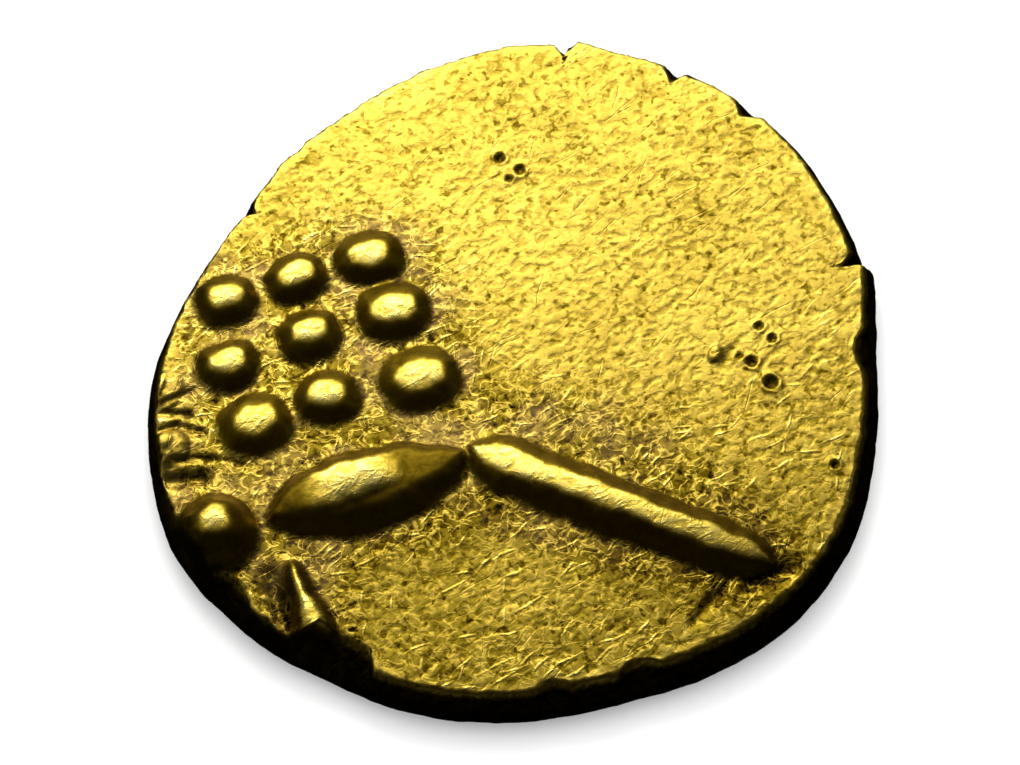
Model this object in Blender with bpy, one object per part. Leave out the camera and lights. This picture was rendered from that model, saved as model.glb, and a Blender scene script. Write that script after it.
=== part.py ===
"""A small hammered gold coin, struck off centre, lying on its worn underside.

Metres, +Z up. The origin is at the middle of the coin's outline, on the surface that it lies on.
The flan is one closed body of rings around a pole. Every raised device is a form of its own, and
the Boolean modifiers of the flan join them to it, so the coin is a single solid.
"""

import math

import bmesh
import bpy
from mathutils import Vector

# Driving sizes, in metres.
COIN_RADIUS = 0.00380
EDGE_THICKNESS = 0.00060
FACE_DOME = 0.00006
FACE_INSET = 0.00014
LIP_DROP = 0.00007
UNDERSIDE_HOLLOW_DEPTH = 0.00008

PELLET_LENGTH = 0.00071
PELLET_WIDTH = 0.00065
PELLET_HEIGHT = 0.00014
BOSS_DIAMETER = 0.00088
BOSS_HEIGHT = 0.00034
WORN_BEAD_DIAMETER = 0.00040
WORN_BEAD_HEIGHT = 0.00010

LEAF_WIDTH = 0.00097
LEAF_HEIGHT = 0.00024
BAR_WIDTH = 0.00080
BAR_HEIGHT = 0.00020
SPUR_WIDTH = 0.00042
SPUR_HEIGHT = 0.00021

# How deep the deepest chip of the edge is, and how far the metal beside a split stands out at most.
CHIP_DEPTH = 0.00025
SPLIT_PROUD = 0.00009

UNDER_STROKE_WIDTH = 0.00050
UNDER_PELLET_DIAMETER = 0.00060
# How high the underside's devices stood when new, in times the height that wear has left.
UNDER_UNWORN = 2.2

# The flan's plan, every OUTLINE_STEP degrees from +X, as shares of the coin's radius.
OUTLINE_STEP = 15
OUTLINE = [
    0.96, 0.985, 1.01, 1.04, 1.05, 1.04, 1.025, 0.983,
    0.94, 0.92, 0.905, 0.935, 0.985, 1.02, 1.05, 1.04,
    1.02, 1.015, 1.0, 0.985, 1.0, 1.015, 1.005, 0.975,
]
# The face is set in further on this side, by this share more than the mean inset.
DEEP_INSET_ANGLE = 300
DEEP_INSET_SHARE = 0.4

# Cracks and chips of the face's edge: direction and half width in degrees, depth as a share of the
# deepest, and the power of the profile, which is 1 for a sharp crack and more for a blunt chip.
CRACKS = {
    "bite_right": (3.5, 4.5, 0.40, 2),
    "split_right": (19.9, 1.4, 0.88, 1),
    "notch_upper_right": (52.0, 2.4, 0.56, 1),
    "notch_upper": (65.2, 1.6, 0.72, 1),
    "split_top": (82.7, 1.6, 0.68, 1),
    "notch_left": (146.6, 1.8, 0.44, 1),
    "chip_left": (221.0, 4.5, 0.52, 2),
    "chip_lower_left": (240.5, 6.4, 1.00, 5),
    "bite_bottom": (275.0, 3.0, 0.28, 2),
    "bite_lower_right": (289.2, 3.6, 0.40, 2),
}
# A split lets the metal on one side of it stand proud of the outline: by this share of the most, over
# this many degrees.
PROUD_SPLITS = {"split_right": (1.0, 9.0), "split_top": (0.9, 8.0)}
# The wall's rings: how much of a crack's depth the lip and the belly still have, how much of the face's
# inset the lip, the heel and the underside have, and how far up the wall the belly and the heel are.
CRACK_AT_LIP = 0.75
CRACK_AT_BELLY = 0.12
LIP_INSET = 0.65
HEEL_INSET = 0.25
UNDER_INSET = 1.1
BELLY_LEVEL = 0.45
HEEL_LEVEL = 0.17
# The rings of the face, as shares of the way out to its edge.
FACE_RINGS = (0.45, 0.8)

# The block of pellets: its middle and its two steps, as shares of the coin's radius.
BLOCK_MIDDLE = Vector((-0.551, 0.079))
BLOCK_COLUMN_STEP = Vector((0.190, 0.065))
BLOCK_ROW_STEP = Vector((0.072, -0.187))
BLOCK_ROWS = 3
BLOCK_COLUMNS = 3
# Each pellet by row and column: how far it strays from the grid, its size against the common one, its turn.
PELLET_STRAY = {
    (0, 0): ((0.023, -0.004), 0.96, 20),
    (0, 1): ((0.020, -0.002), 0.94, 14),
    (0, 2): ((0.024, -0.004), 1.03, 4),
    (1, 0): ((-0.038, -0.014), 0.94, 12),
    (1, 1): ((-0.011, 0.010), 0.96, 8),
    (1, 2): ((0.022, 0.014), 1.10, 10),
    (2, 0): ((-0.034, -0.004), 1.12, 6),
    (2, 1): ((-0.033, 0.007), 0.97, 12),
    (2, 2): ((0.024, -0.003), 1.20, 14),
}
# The other devices, as shares of the coin's radius.
BOSS_PLACE = Vector((-0.800, -0.496))
WORN_BEADS = {"worn_bead_lower": Vector((-0.905, -0.232)), "worn_bead_upper": Vector((-0.925, -0.066))}
LEAF_ENDS = (Vector((-0.658, -0.458)), Vector((-0.146, -0.284)))
BAR_ENDS = (Vector((-0.112, -0.270)), Vector((0.650, -0.600)))
SPUR_ENDS = (Vector((-0.604, -0.588)), Vector((-0.528, -0.815)))
# How each stroke's width and height run along it: the share of the full size at the start and at the end,
# how much of the length closes at each end, and how it closes there, 0.5 for round and more for pointed.
LEAF_PLAN = (1.08, 0.92, 0.5, 0.62)
LEAF_CREST = (1.0, 1.0, 0.5, 1.0)
BAR_PLAN = (0.90, 0.80, 0.12, 0.5)
BAR_CREST = (0.8, 1.0, 0.35, 0.5)
SPUR_PLAN = (0.30, 1.15, 0.15, 0.5)
SPUR_CREST = (0.40, 1.0, 0.12, 0.5)
UNDER_PLAN = (0.9, 1.1, 0.08, 0.5)
UNDER_CREST = (1.0, 1.0, 0.05, 0.5)
# The least share of the full size that is left at an end.
LEAST_WIDTH = 0.06
LEAST_HEIGHT = 0.15
UNDER_LEAST_WIDTH = 0.3
UNDER_LEAST_HEIGHT = 0.6

# The underside: a long bent stroke, two short ones and a ring of pellets, all worn to one plane.
UNDER_STROKES = {
    "under_long": (Vector((-0.62, 0.10)), Vector((0.0, -0.20)), Vector((0.64, 0.06))),
    "under_left": (Vector((-0.46, 0.62)), Vector((-0.30, 0.46)), Vector((-0.26, 0.24))),
    "under_right": (Vector((0.28, 0.22)), Vector((0.34, 0.44)), Vector((0.52, 0.58))),
}
UNDER_PELLETS = 5
UNDER_PELLET_RING = 0.60
UNDER_PELLET_FIRST = 206
UNDER_PELLET_ARC = 128
UNDER_PELLET_SET = (0.02, 0.50)

# How finely the round shapes are drawn.
OUTLINE_DEGREES = 3
PELLET_SIDES = 20
PELLET_RINGS = 4
STROKE_STATIONS = 15
STROKE_SIDES = 8
# How far a raised form reaches down into the flan, as a share of the flan's wall.
ROOT_SHARE = 0.45
# The rounded back of every raised form: more is flatter on top, and less is steeper at the foot.
DOME_FLATNESS = 2.3
DOME_FOOT = 0.55

GOLD_COLOUR = (0.83, 0.60, 0.16, 1.0)
GOLD_ROUGHNESS = 0.3


def clear_scene():
    for old in list(bpy.data.objects):
        bpy.data.objects.remove(old)


def gold():
    material = bpy.data.materials.new("hammered_gold")
    material.use_nodes = True
    shader = material.node_tree.nodes["Principled BSDF"]
    shader.inputs["Base Color"].default_value = GOLD_COLOUR
    shader.inputs["Metallic"].default_value = 1.0
    shader.inputs["Roughness"].default_value = GOLD_ROUGHNESS
    return material


def add_object(name, mesh_edit, material, helper=False):
    """Makes an object of a bmesh. A helper only feeds a Boolean and isn't a piece."""
    bmesh.ops.recalc_face_normals(mesh_edit, faces=mesh_edit.faces)
    mesh = bpy.data.meshes.new(name)
    mesh_edit.to_mesh(mesh)
    mesh_edit.free()
    mesh.materials.append(material)
    obj = bpy.data.objects.new(name, mesh)
    bpy.context.scene.collection.objects.link(obj)
    if helper:
        obj.hide_render = True
        obj.display_type = "WIRE"
    return obj


def turn_between(angle, other):
    """The angle from other to angle, in degrees from -180 to 180."""
    return (angle - other + 180) % 360 - 180


def outline_share(angle):
    """The flan's radius as a share, on a smooth closed curve through OUTLINE."""
    place = (angle % 360) / OUTLINE_STEP
    first = int(place)
    t = place - first
    a, b, c, d = (OUTLINE[(first + k) % len(OUTLINE)] for k in (-1, 0, 1, 2))
    bend = (2 * b, c - a, 2 * a - 5 * b + 4 * c - d, 3 * b - a - 3 * c + d)
    return 0.5 * sum(k * t**power for power, k in enumerate(bend))


def proud_of_outline(angle):
    """How far the metal beside a split stands out there."""
    most = 0.0
    for name, (proud, reach) in PROUD_SPLITS.items():
        behind = turn_between(CRACKS[name][0], angle)
        if 0 <= behind < reach:
            most = max(most, proud * SPLIT_PROUD * (1 - behind / reach))
    return most


def crack_depth(angle):
    """How far the cracks and chips cut into the face's edge there."""
    deepest = 0.0
    for direction, half_width, depth, power in CRACKS.values():
        share = abs(turn_between(angle, direction)) / half_width
        if share < 1:
            deepest = max(deepest, depth * CHIP_DEPTH * (1 - share**power))
    return deepest


def plain_radius(angle):
    """The outline before anything cracks or chips off it."""
    return COIN_RADIUS * outline_share(angle) + proud_of_outline(angle)


def inset(angle):
    """How far the face's edge stands in from the outline."""
    return FACE_INSET * (1 + DEEP_INSET_SHARE * math.cos(math.radians(angle - DEEP_INSET_ANGLE)))


def wall_radius(angle, inset_share, crack_share):
    """The radius of a ring of the wall, from how much of the inset and of the cracks it has."""
    return plain_radius(angle) - inset_share * inset(angle) - crack_share * crack_depth(angle)


def belly_radius(angle):
    """The flan's widest ring, half way down the wall."""
    return wall_radius(angle, 0.0, CRACK_AT_BELLY)


def drawn_angles():
    """Even steps around the coin, with the corners of each crack in place of the steps nearest to them."""
    corners = []
    for name, (direction, half_width, _depth, power) in CRACKS.items():
        shares = (-1, 0, 1) if power == 1 else (-1, -0.75, 0, 0.75, 1)
        corners += [(direction + half_width * share) % 360 for share in shares]
        if name in PROUD_SPLITS:
            corners.append((direction + OUTLINE_DEGREES / 10) % 360)
    even = [
        step
        for step in range(0, 360, OUTLINE_DEGREES)
        if all(abs(turn_between(step, corner)) > OUTLINE_DEGREES / 3 for corner in corners)
    ]
    return sorted(set(even) | set(corners))


def plan_point(angle, radius):
    return Vector((math.cos(math.radians(angle)), math.sin(math.radians(angle)))) * radius


def outline_middle(angles):
    """The middle of the box around the flan's widest ring, measured from the pole."""
    points = [plan_point(angle, belly_radius(angle)) for angle in angles]
    across = [point.x for point in points]
    along = [point.y for point in points]
    return Vector(((min(across) + max(across)) / 2, (min(along) + max(along)) / 2))


def wall_level(share):
    """The height at a share of the way up the flan's wall."""
    return UNDERSIDE_HOLLOW_DEPTH + share * (EDGE_THICKNESS - UNDERSIDE_HOLLOW_DEPTH)


def root_depth():
    """How far every raised form reaches down into the flan."""
    return ROOT_SHARE * (EDGE_THICKNESS - UNDERSIDE_HOLLOW_DEPTH)


def face_height(place):
    """The height of the domed face over a plan point given as shares of the coin's radius."""
    return EDGE_THICKNESS + FACE_DOME * max(0.0, 1 - place.length_squared)


def build_flan(material, angles, middle):
    """The struck disc: a domed face, a cracked lip, a bulging wall and a flat underside."""
    edit = bmesh.new()

    def ring(radius_of, height_of):
        made = []
        for angle in angles:
            point = plan_point(angle, radius_of(angle)) - middle
            made.append(edit.verts.new((point.x, point.y, height_of(angle))))
        return made

    def face_ring(share):
        def radius_of(angle):
            return share * (plain_radius(angle) - FACE_INSET)

        def height_of(angle):
            return face_height(plan_point(angle, radius_of(angle) / COIN_RADIUS))

        return ring(radius_of, height_of)

    def wall_ring(inset_share, crack_share, height):
        return ring(lambda angle: wall_radius(angle, inset_share, crack_share), lambda angle: height)

    rings = [face_ring(share) for share in FACE_RINGS] + [
        wall_ring(1.0, 1.0, EDGE_THICKNESS),
        wall_ring(LIP_INSET, CRACK_AT_LIP, EDGE_THICKNESS - LIP_DROP),
        wall_ring(0.0, CRACK_AT_BELLY, wall_level(BELLY_LEVEL)),
        wall_ring(HEEL_INSET, 0.0, wall_level(HEEL_LEVEL)),
        wall_ring(UNDER_INSET, 0.0, UNDERSIDE_HOLLOW_DEPTH),
        ring(lambda angle: FACE_RINGS[0] * plain_radius(angle), lambda angle: UNDERSIDE_HOLLOW_DEPTH),
    ]
    for outer, inner in zip(rings[1:], rings):
        for k in range(len(angles)):
            after = (k + 1) % len(angles)
            edit.faces.new((inner[k], outer[k], outer[after], inner[after]))
    poles = (
        (EDGE_THICKNESS + FACE_DOME, rings[0]),
        (UNDERSIDE_HOLLOW_DEPTH, rings[-1]),
    )
    for pole_height, around in poles:
        pole = edit.verts.new((-middle.x, -middle.y, pole_height))
        for k in range(len(angles)):
            edit.faces.new((pole, around[k], around[(k + 1) % len(angles)]))
    return add_object("gold_coin", edit, material)


def dome(share_across):
    """The height of a device's rounded back, as a share of its full height, at a share of its half width."""
    return (1 - abs(share_across) ** DOME_FLATNESS) ** DOME_FOOT


def build_pellet(name, material, length, width, height, worn_flat=None):
    """A round or oval dome with a straight root below it. worn_flat cuts the dome's top off level."""
    edit = bmesh.new()
    rings = []
    for k in range(1, PELLET_RINGS + 1):
        share = math.sin(math.pi / 2 * k / PELLET_RINGS)
        level = height * dome(share)
        if worn_flat is not None:
            level = min(level, worn_flat)
        rings.append((share, level))
    rings.append((1.0, -root_depth()))
    made = []
    for share, level in rings:
        around = []
        for side in range(PELLET_SIDES):
            turn = 2 * math.pi * side / PELLET_SIDES
            x = share * length / 2 * math.cos(turn)
            y = share * width / 2 * math.sin(turn)
            around.append(edit.verts.new((x, y, level)))
        made.append(around)
    for inner, outer in zip(made, made[1:]):
        for side in range(PELLET_SIDES):
            after = (side + 1) % PELLET_SIDES
            edit.faces.new((inner[side], outer[side], outer[after], inner[after]))
    crown = edit.verts.new((0, 0, height if worn_flat is None else worn_flat))
    for side in range(PELLET_SIDES):
        edit.faces.new((crown, made[0][side], made[0][(side + 1) % PELLET_SIDES]))
    edit.faces.new(made[-1])
    return add_object(name, edit, material, helper=True)


def build_stroke(name, material, spine, half_width_of, height_of, worn_flat=None):
    """A raised stroke along a spine of plan points in metres, by stations(). The two functions give its
    half width and height for a share of the way along it, and neither is ever quite nothing."""
    edit = bmesh.new()
    sections = []
    for k, (along_share, point) in enumerate(zip(stations(), spine)):
        along = (spine[min(k + 1, len(spine) - 1)] - spine[max(k - 1, 0)]).normalized()
        across = Vector((-along.y, along.x)) * half_width_of(along_share)
        section = []
        for side in range(STROKE_SIDES + 1):
            share = -math.cos(math.pi * side / STROKE_SIDES)
            place = point + across * share
            level = height_of(along_share) * dome(share)
            if worn_flat is not None:
                level = min(level, worn_flat)
            section.append(edit.verts.new((place.x, place.y, level)))
        for share in (1, -1):
            place = point + across * share
            section.append(edit.verts.new((place.x, place.y, -root_depth())))
        sections.append(section)
    for here, there in zip(sections, sections[1:]):
        for side in range(len(here)):
            after = (side + 1) % len(here)
            edit.faces.new((here[side], there[side], there[after], here[after]))
    edit.faces.new(sections[0])
    edit.faces.new(sections[-1])
    return add_object(name, edit, material, helper=True)


def stations():
    """Shares of the way along a stroke, closer together near both ends, where the outline turns fastest."""
    last = STROKE_STATIONS - 1
    return [0.5 - 0.5 * math.cos(math.pi * k / last) for k in range(STROKE_STATIONS)]


def straight_spine(ends):
    """Points from end to end."""
    start, end = (end * COIN_RADIUS for end in ends)
    return [start.lerp(end, share) for share in stations()]


def bent_spine(points):
    """Points along the curve that runs from the first to the last point and leans to the middle one."""
    start, bend, end = (point * COIN_RADIUS for point in points)
    return [start.lerp(bend, share).lerp(bend.lerp(end, share), share) for share in stations()]


def tapered(full, shape, least):
    """A size along a stroke, by its shape: it goes evenly from one share of the full size to the other,
    and closes at both ends."""
    start_share, end_share, closing, bluntness = shape

    def size(share):
        from_end = min(1.0, min(share, 1 - share) / closing)
        closed = (1 - (1 - from_end) ** 2) ** bluntness
        return full * max(least, (start_share + (end_share - start_share) * share) * closed)

    return size


def place_on_face(obj, place, middle, turn=0.0):
    """Sets a form on the face at a plan point given as shares of the coin's radius."""
    point = place * COIN_RADIUS - middle
    obj.location = (point.x, point.y, face_height(place))
    obj.rotation_euler = (0, 0, math.radians(turn))


def place_under(obj, place, middle):
    """Sets a form on the underside, head down."""
    point = place * COIN_RADIUS - middle
    obj.location = (point.x, point.y, UNDERSIDE_HOLLOW_DEPTH)
    obj.rotation_euler = (math.pi, 0, 0)


def face_stroke(name, material, ends, half_width_of, height_of, middle):
    """A straight stroke on the face. Its spine holds its place, and it is set at the face's height there."""
    obj = build_stroke(name, material, straight_spine(ends), half_width_of, height_of)
    obj.location = (-middle.x, -middle.y, face_height(ends[0].lerp(ends[1], 0.5)))
    return obj


def build_face_devices(material, middle):
    """The raised devices of the face that shows."""
    forms = []
    for row in range(BLOCK_ROWS):
        for column in range(BLOCK_COLUMNS):
            stray, size, turn = PELLET_STRAY.get((row, column), ((0, 0), 1.0, 0))
            place = (
                BLOCK_MIDDLE
                + BLOCK_COLUMN_STEP * (column - (BLOCK_COLUMNS - 1) / 2)
                + BLOCK_ROW_STEP * (row - (BLOCK_ROWS - 1) / 2)
                + Vector(stray)
            )
            form = build_pellet(
                f"pellet_{row}_{column}", material, PELLET_LENGTH * size, PELLET_WIDTH * size, PELLET_HEIGHT
            )
            place_on_face(form, place, middle, turn)
            forms.append(form)

    boss = build_pellet("boss", material, BOSS_DIAMETER, BOSS_DIAMETER, BOSS_HEIGHT)
    place_on_face(boss, BOSS_PLACE, middle)
    forms.append(boss)
    for name, place in WORN_BEADS.items():
        bead = build_pellet(name, material, WORN_BEAD_DIAMETER, WORN_BEAD_DIAMETER, WORN_BEAD_HEIGHT)
        place_on_face(bead, place, middle)
        forms.append(bead)

    leaf = face_stroke(
        "leaf",
        material,
        LEAF_ENDS,
        tapered(LEAF_WIDTH / 2, LEAF_PLAN, LEAST_WIDTH),
        tapered(LEAF_HEIGHT, LEAF_CREST, LEAST_HEIGHT),
        middle,
    )
    bar = face_stroke(
        "bar",
        material,
        BAR_ENDS,
        tapered(BAR_WIDTH / 2, BAR_PLAN, LEAST_WIDTH),
        tapered(BAR_HEIGHT, BAR_CREST, LEAST_HEIGHT),
        middle,
    )
    spur = face_stroke(
        "spur",
        material,
        SPUR_ENDS,
        tapered(SPUR_WIDTH / 2, SPUR_PLAN, LEAST_WIDTH),
        tapered(SPUR_HEIGHT, SPUR_CREST, LEAST_HEIGHT),
        middle,
    )
    return forms + [leaf, bar, spur]


def build_under_devices(material, middle):
    """The devices of the hidden side, plain and worn flat. The coin lies on them."""
    forms = []
    unworn = UNDER_UNWORN * UNDERSIDE_HOLLOW_DEPTH
    for name, points in UNDER_STROKES.items():
        # The form is turned head down about X, so its spine is drawn with Y the other way round.
        stroke = build_stroke(
            name,
            material,
            bent_spine([Vector((point.x, -point.y)) for point in points]),
            tapered(UNDER_STROKE_WIDTH / 2, UNDER_PLAN, UNDER_LEAST_WIDTH),
            tapered(unworn, UNDER_CREST, UNDER_LEAST_HEIGHT),
            worn_flat=UNDERSIDE_HOLLOW_DEPTH,
        )
        stroke.location = (-middle.x, -middle.y, UNDERSIDE_HOLLOW_DEPTH)
        stroke.rotation_euler = (math.pi, 0, 0)
        forms.append(stroke)
    places = [Vector(UNDER_PELLET_SET)]
    for k in range(UNDER_PELLETS):
        angle = UNDER_PELLET_FIRST + UNDER_PELLET_ARC * k / (UNDER_PELLETS - 1)
        places.append(plan_point(angle, UNDER_PELLET_RING))
    for k, place in enumerate(places):
        pellet = build_pellet(
            f"under_pellet_{k}",
            material,
            UNDER_PELLET_DIAMETER,
            UNDER_PELLET_DIAMETER,
            unworn,
            worn_flat=UNDERSIDE_HOLLOW_DEPTH,
        )
        place_under(pellet, place, middle)
        forms.append(pellet)
    return forms


def join_forms(coin, forms):
    """Joins every raised form to the flan, one Boolean for each."""
    for form in forms:
        join = coin.modifiers.new(f"join_{form.name}", "BOOLEAN")
        join.operation = "UNION"
        join.solver = "EXACT"
        join.object = form


def build_coin():
    clear_scene()
    material = gold()
    angles = drawn_angles()
    middle = outline_middle(angles)
    coin = build_flan(material, angles, middle)
    coin.data.shade_smooth()
    coin.data.set_sharp_from_angle(angle=math.radians(35))
    join_forms(coin, build_face_devices(material, middle) + build_under_devices(material, middle))
    return coin


build_coin()
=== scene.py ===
import math
from functools import partial

import bpy
import numpy as np
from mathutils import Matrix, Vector


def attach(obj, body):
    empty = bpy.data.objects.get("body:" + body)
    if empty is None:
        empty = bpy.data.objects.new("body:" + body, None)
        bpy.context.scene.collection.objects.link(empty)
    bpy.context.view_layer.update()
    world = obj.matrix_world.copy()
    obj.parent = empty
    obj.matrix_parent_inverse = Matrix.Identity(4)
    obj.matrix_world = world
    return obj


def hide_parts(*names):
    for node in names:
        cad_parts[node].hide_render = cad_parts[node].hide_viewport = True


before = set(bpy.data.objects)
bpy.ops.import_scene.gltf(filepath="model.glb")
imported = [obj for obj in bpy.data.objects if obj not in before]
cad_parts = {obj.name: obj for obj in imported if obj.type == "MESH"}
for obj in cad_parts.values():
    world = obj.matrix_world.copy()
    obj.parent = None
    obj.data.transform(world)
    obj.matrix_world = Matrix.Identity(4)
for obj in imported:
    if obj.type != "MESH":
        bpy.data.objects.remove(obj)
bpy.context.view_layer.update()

mm = 0.001
coinRadius = 3.8  # mm, the mean radius of the coin's outline
# The pole is where the outline is measured from, in the middle of the struck face.
pole = Vector((0.0627, -0.0755, 0.0))  # mm


def hexColour(text):
    channels = [int(text[k : k + 2], 16) / 255 for k in (0, 2, 4)]
    linear = [c / 12.92 if c <= 0.04045 else ((c + 0.055) / 1.055) ** 2.4 for c in channels]
    return (*linear, 1.0)


# Adds a node, sets its settings, fills or links its inputs, and gives back its first output in use.
# A kind with no prefix is a shader node's, which a geometry tree can hold too. Inputs are a tuple in
# their order, or a dictionary with their numbers or names.
def addNode(tree, kind, inputs=(), operation=None, **settings):
    node = tree.nodes.new(kind if "Node" in kind else "ShaderNode" + kind)
    if operation:
        node.operation = operation
    for name, value in settings.items():
        setattr(node, name, value)
    for key, value in inputs.items() if isinstance(inputs, dict) else enumerate(inputs):
        if isinstance(key, int):
            socket = node.inputs[key]
        else:
            socket = next(s for s in node.inputs if s.name == key and s.enabled)
        if isinstance(value, bpy.types.NodeSocket):
            tree.links.new(value, socket)
        else:
            socket.default_value = value
    return next((s for s in node.outputs if s.enabled), None)


# Joins several values by one operation, most often as their product
def addAll(add, values, operation="MULTIPLY"):
    joined = values[0]
    for value in values[1:]:
        joined = add("Math", (joined, value), operation=operation)
    return joined


# Strays both ways from noise of one size. The reach is for each axis.
def addStray(add, position, size, reach, **noise):
    stray = add("TexNoise", {"Vector": position, "Scale": 1 / size, **noise}).node.outputs["Color"]
    stray = add("VectorMath", (stray, (0.5, 0.5, 0.5)), "SUBTRACT")
    return add("VectorMath", (stray, reach), "MULTIPLY")


# Turns a position by some degrees, and then scales it for each axis
def addTurned(add, position, turn, scale):
    angle = -math.radians(turn)
    turned = add("VectorRotate", {"Vector": position, "Angle": angle}, rotation_type="Z_AXIS")
    return add("VectorMath", (turned, scale), "MULTIPLY")


smoothly = {"interpolation_type": "SMOOTHSTEP"}


# A tree with its inputs' labels under their kinds, the way to add to it, and what it is given
def newGeometryTree(name, **kinds):
    tree = bpy.data.node_groups.new(name, "GeometryNodeTree")
    for way in ("INPUT", "OUTPUT"):
        tree.interface.new_socket("Geometry", in_out=way, socket_type="NodeSocketGeometry")
    for kind, labels in kinds.items():
        for label in labels:
            tree.interface.new_socket(label, in_out="INPUT", socket_type="NodeSocket" + kind)
    return tree, partial(addNode, tree), tree.nodes.new("NodeGroupInput").outputs


def finishTree(add, geometry, material=None):
    made = add("GeometryNodeRealizeInstances", {"Geometry": geometry})
    made = add("GeometryNodeSetMaterial", {"Geometry": made, "Material": material})
    add("NodeGroupOutput", {"Geometry": made})


def newObject(name, data):
    obj = bpy.data.objects.new(name, data)
    bpy.context.scene.collection.objects.link(obj)
    return obj


# Runs a tree on an object and turns the result into a plain mesh of that object.
def applyTree(obj, tree, values):
    modifier = obj.modifiers.new(tree.name, "NODES")
    modifier.node_group = tree
    for item in tree.interface.items_tree:
        if item.in_out == "INPUT" and item.name in values:
            modifier[item.identifier] = values[item.name]
    bpy.context.view_layer.update()
    depsgraph = bpy.context.evaluated_depsgraph_get()
    mesh = bpy.data.meshes.new_from_object(obj.evaluated_get(depsgraph), depsgraph=depsgraph)
    name = obj.name
    obj.modifiers.remove(modifier)
    bpy.data.objects.remove(obj)
    return newObject(name, mesh)


# Each further name holds a number for every point.
def newMeshObject(name, points, faces, **values):
    mesh = bpy.data.meshes.new(name)
    mesh.from_pydata(points, [], faces)
    for label, numbers in values.items():
        mesh.attributes.new(label, "FLOAT", "POINT").data.foreach_set("value", numbers)
    return newObject(name, mesh)


# Camera. It looks at the coin from 62 degrees above the table, through a long lens.
view = {
    "elevation": 62.0,
    "lens": 200.0,  # mm
    "distance": 57.6,  # mm
    "target": Vector((-0.041, -0.172, 0.45)),  # mm
    "clip": (0.002, 10.0),  # m
}


def placeCamera():
    tilt = math.radians(view["elevation"])
    back = Vector((0, -math.cos(tilt), math.sin(tilt)))
    data = bpy.data.cameras.new("photographAngle")
    data.lens = view["lens"]
    data.clip_start, data.clip_end = view["clip"]
    camera = newObject("photographAngle", data)
    camera.location = (view["target"] + back * view["distance"]) * mm
    camera.rotation_euler = (math.pi / 2 - tilt, 0, 0)
    bpy.context.scene.camera = camera
    print("camera placed")


# Stage: a white table and soft light from beyond the coin, which the flat gold mirrors.
stage = {
    "tableColour": "F4F4F4",
    "tableRoughness": 0.9,
    "tableSize": 400.0,  # mm
    "skyLight": 1.35,  # on the table
    "skyInGold": 0.003,  # what the gold mirrors of it
    "boxes": [
        # name, azimuth from +Y towards +X, elevation, distance and sides in mm, radiance, colour
        ("mainBox", -10, 46, 70.0, (50.0, 42.0), 3.3, "FFFCF4"),
        ("leftBox", -78, 40, 90.0, (40.0, 60.0), 0.30, "FFFFE8"),
        ("rightBox", 80, 35, 90.0, (40.0, 50.0), 0.14, "FFFFE0"),
        ("farBox", -5, 15, 90.0, (120.0, 42.0), 0.60, "FFFFE8"),
        ("frontBox", 180, 15, 90.0, (160.0, 40.0), 0.05, "FFFCF4"),
    ],
}


def buildStage():
    half = stage["tableSize"] / 2 * mm
    corners = [(-half, -half, 0), (half, -half, 0), (half, half, 0), (-half, half, 0)]
    table = newMeshObject("table", corners, [(0, 1, 2, 3)])
    paper = bpy.data.materials.new("mattPaper")
    paper.use_nodes = True
    shader = paper.node_tree.nodes["Principled BSDF"]
    shader.inputs["Base Color"].default_value = hexColour(stage["tableColour"])
    shader.inputs["Roughness"].default_value = stage["tableRoughness"]
    table.data.materials.append(paper)
    table.visible_glossy = False

    for name, azimuth, elevation, distance, sides, radiance, colour in stage["boxes"]:
        light = bpy.data.lights.new(name, "AREA")
        light.shape = "RECTANGLE"
        light.size, light.size_y = (side * mm for side in sides)
        light.energy = radiance * math.pi * light.size * light.size_y
        light.color = hexColour(colour)[:3]
        lamp = newObject(name, light)
        turn, lift = math.radians(azimuth), math.radians(elevation)
        level = math.cos(lift)
        towards = Vector((math.sin(turn) * level, math.cos(turn) * level, math.sin(lift)))
        lamp.location = towards * distance * mm
        lamp.rotation_euler = towards.to_track_quat("Z", "Y").to_euler()
        lamp.visible_camera = False

    world = bpy.data.worlds.new("softRoom")
    bpy.context.scene.world = world
    world.use_nodes = True
    tree = world.node_tree
    add = partial(addNode, tree)
    path = add("LightPath").node
    strength = add(
        "MapRange",
        {0: path.outputs["Is Glossy Ray"], 3: stage["skyLight"], 4: stage["skyInGold"]},
    )
    background = tree.nodes["Background"]
    background.inputs["Color"].default_value = (1, 1, 1, 1)
    tree.links.new(strength, background.inputs["Strength"])
    bpy.context.scene.view_settings.view_transform = "Standard"
    print("stage built")


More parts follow.
